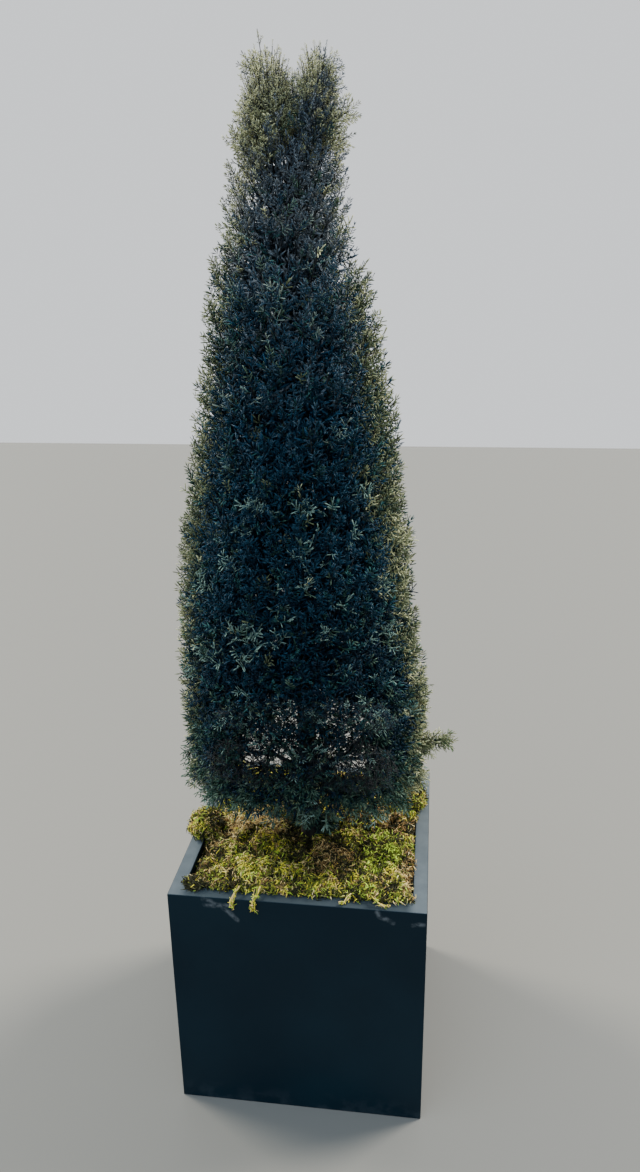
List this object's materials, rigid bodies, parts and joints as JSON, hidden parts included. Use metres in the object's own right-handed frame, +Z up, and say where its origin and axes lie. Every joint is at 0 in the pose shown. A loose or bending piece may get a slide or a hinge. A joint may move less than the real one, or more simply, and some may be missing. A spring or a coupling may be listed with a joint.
{
  "type": "cone topiary in planter",
  "caption": "Tall conifer clipped to a cone, with two small peaks at its tip, in a dark square planter topped with moss.",
  "frame": {"origin": "middle of the planter's flat underside", "axes": "+Z up along the trunk; the front that the picture shows faces -Y, and +X is its right"},
  "size_m": [0.5251, 0.4746, 1.8314],
  "materials": {
    "planter": "satin, dark slate",
    "soil": "rough, crumbly",
    "moss": "rough, fibrous",
    "bark": "rough, ridged",
    "foliage": "matte, fine sprays"
  },
  "bodies": {
    "root": {"planter": "planter", "soil": "soil", "moss_front_left": "moss", "moss_front_middle": "moss", "moss_front_right": "moss", "moss_left": "moss", "moss_right": "moss", "moss_back_left": "moss", "moss_back_middle": "moss", "moss_back_right": "moss", "trunk": "bark", "leader_right": "bark", "leader_back": "bark", "leader_left": "bark", "foliage_foot_front": "foliage", "foliage_foot_back": "foliage", "foliage_skirt_right": "foliage", "foliage_skirt_back": "foliage", "foliage_skirt_left": "foliage", "foliage_skirt_front": "foliage", "foliage_lower_back_right": "foliage", "foliage_lower_back_left": "foliage", "foliage_lower_front_left": "foliage", "foliage_lower_front_right": "foliage", "foliage_waist_right": "foliage", "foliage_waist_back": "foliage", "foliage_waist_left": "foliage", "foliage_waist_front": "foliage", "foliage_middle_back_right": "foliage", "foliage_middle_back_left": "foliage", "foliage_middle_front_left": "foliage", "foliage_middle_front_right": "foliage", "foliage_upper_right": "foliage", "foliage_upper_back_left": "foliage", "foliage_upper_front_left": "foliage", "foliage_neck_back_right": "foliage", "foliage_neck_left": "foliage", "foliage_neck_front_right": "foliage", "foliage_plume_right": "foliage", "foliage_plume_back": "foliage", "foliage_plume_left": "foliage"}
  },
  "joints": []
}
